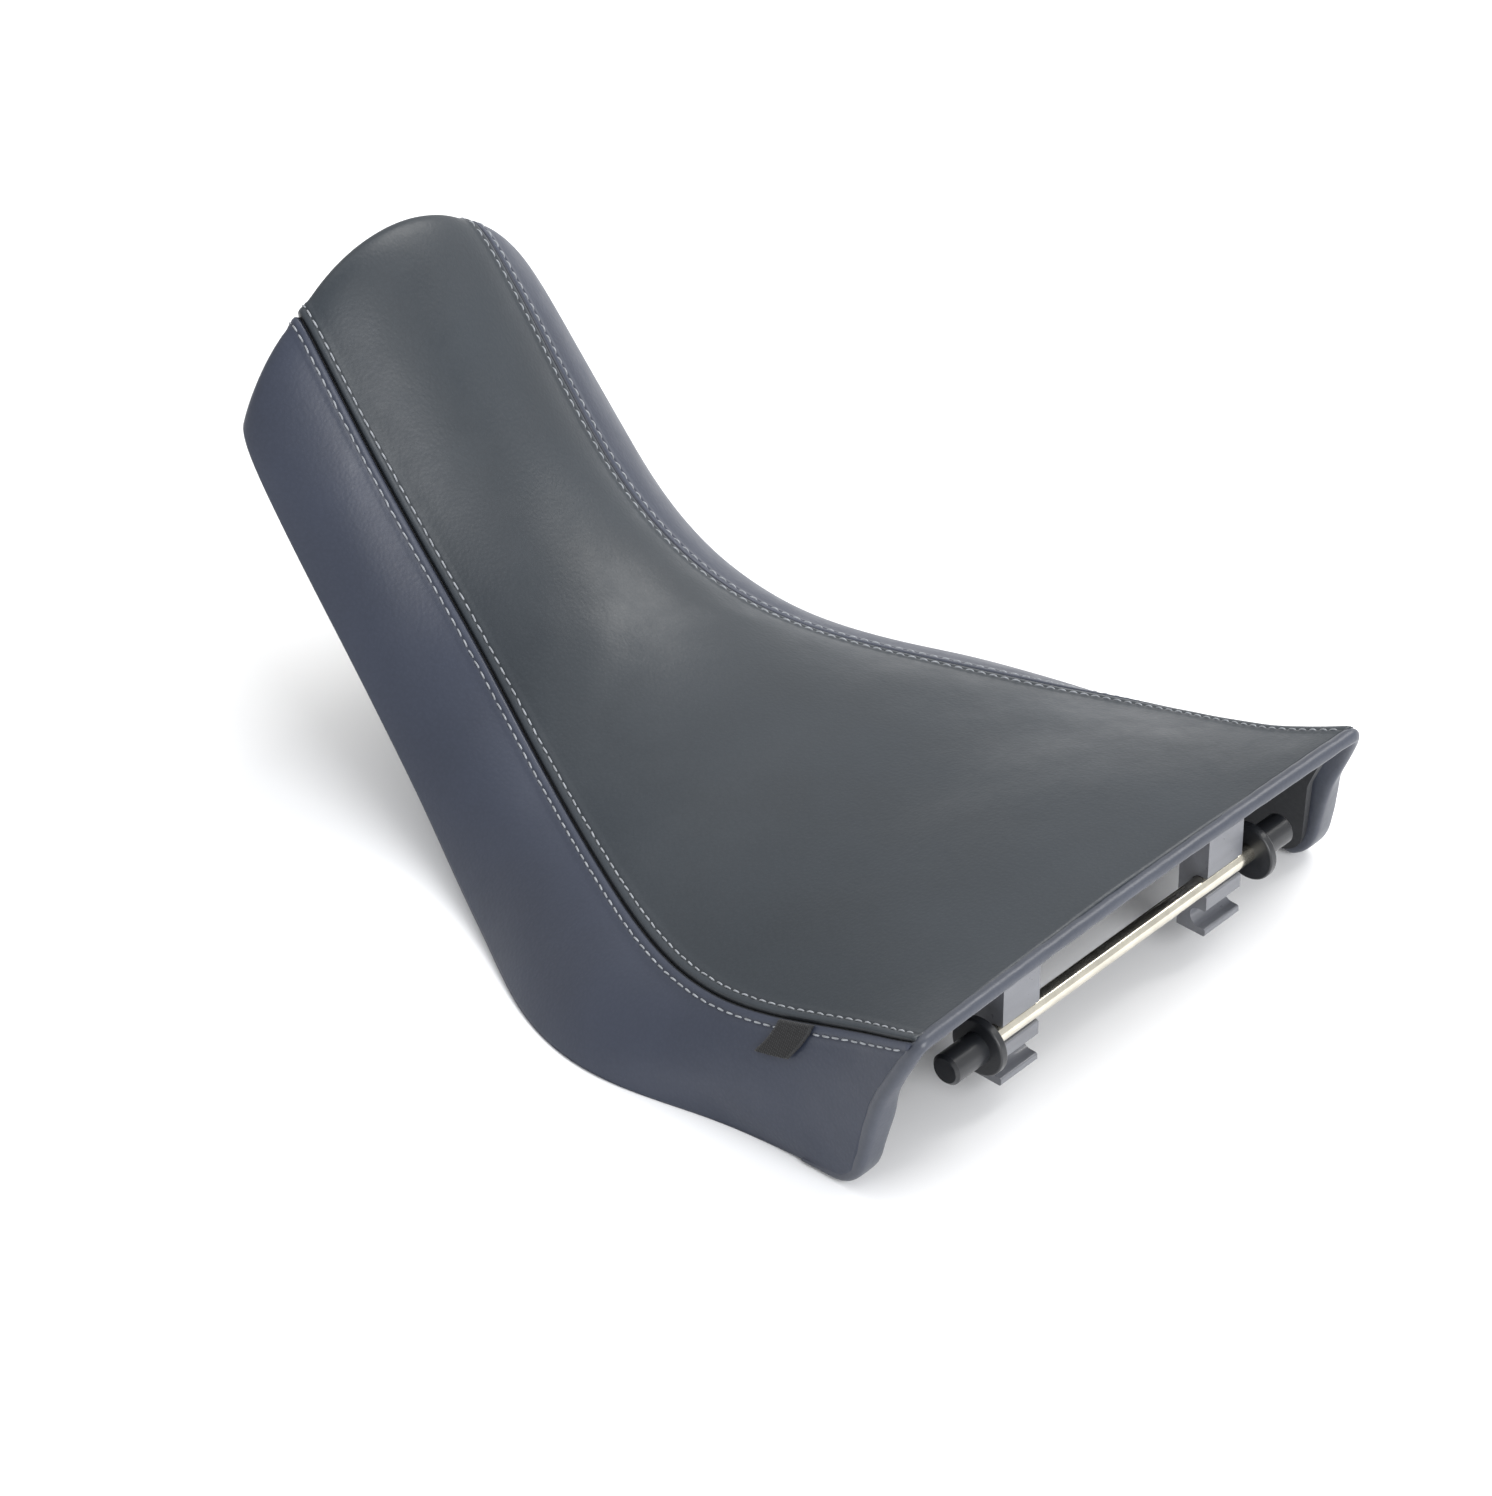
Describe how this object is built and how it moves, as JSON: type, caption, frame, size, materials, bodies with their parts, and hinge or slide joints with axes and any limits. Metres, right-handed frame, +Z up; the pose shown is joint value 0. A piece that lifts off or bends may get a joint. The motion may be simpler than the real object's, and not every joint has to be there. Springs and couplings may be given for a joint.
{
  "type": "motorcycle seat",
  "caption": "Rider's seat with a raised narrow nose, flared skirts, stitched vinyl cover on foam and base pan, and a pull-out height rail under its open rear edge.",
  "frame": {"origin": "on the floor under the middle of the bounding box, with the seat standing on its skirts", "axes": "+X forward to the nose, +Y to the rider's left, +Z up"},
  "size_m": [0.49, 0.3804, 0.247],
  "materials": {
    "pan_plastic": "textured",
    "foam": "open-cell foam",
    "vinyl_top": "fine grain, satin",
    "vinyl_side": "fine grain, satin",
    "thread": "twisted thread",
    "vinyl_binding": "rolled, satin",
    "woven_label": "woven, blank",
    "staple_steel": "bright",
    "bracket_plastic": "satin moulded",
    "screw_steel": "zinc plated",
    "tongue_steel": "black coated",
    "rubber": "matt",
    "rail_steel": "polished",
    "bush_plastic": "satin"
  },
  "bodies": {
    "seat": {"base_pan": "pan_plastic", "foam_cushion": "foam", "cover_top_panel": "vinyl_top", "cover_left_panel": "vinyl_side", "cover_right_panel": "vinyl_side", "cover_nose_panel": "vinyl_top", "left_seam_stitching": "thread", "right_seam_stitching": "thread", "rear_edge_binding": "vinyl_binding", "seam_label": "woven_label", "cover_staples": "staple_steel", "left_rail_bracket": "bracket_plastic", "right_rail_bracket": "bracket_plastic", "bracket_screws": "screw_steel", "front_tongue": "tongue_steel", "tongue_sleeve": "rubber", "tongue_rivets": "screw_steel", "rear_left_bumper": "rubber", "rear_right_bumper": "rubber", "front_left_bumper": "rubber", "front_right_bumper": "rubber"},
    "height_rail": {"rail_rod": "rail_steel", "left_end_bush": "bush_plastic", "right_end_bush": "bush_plastic"}
  },
  "joints": [
    {"name": "rail_pull_out", "type": "slide", "parent": "seat", "child": "height_rail", "axis": [-1, 0, 0], "range_m": [0, 0.05]}
  ]
}
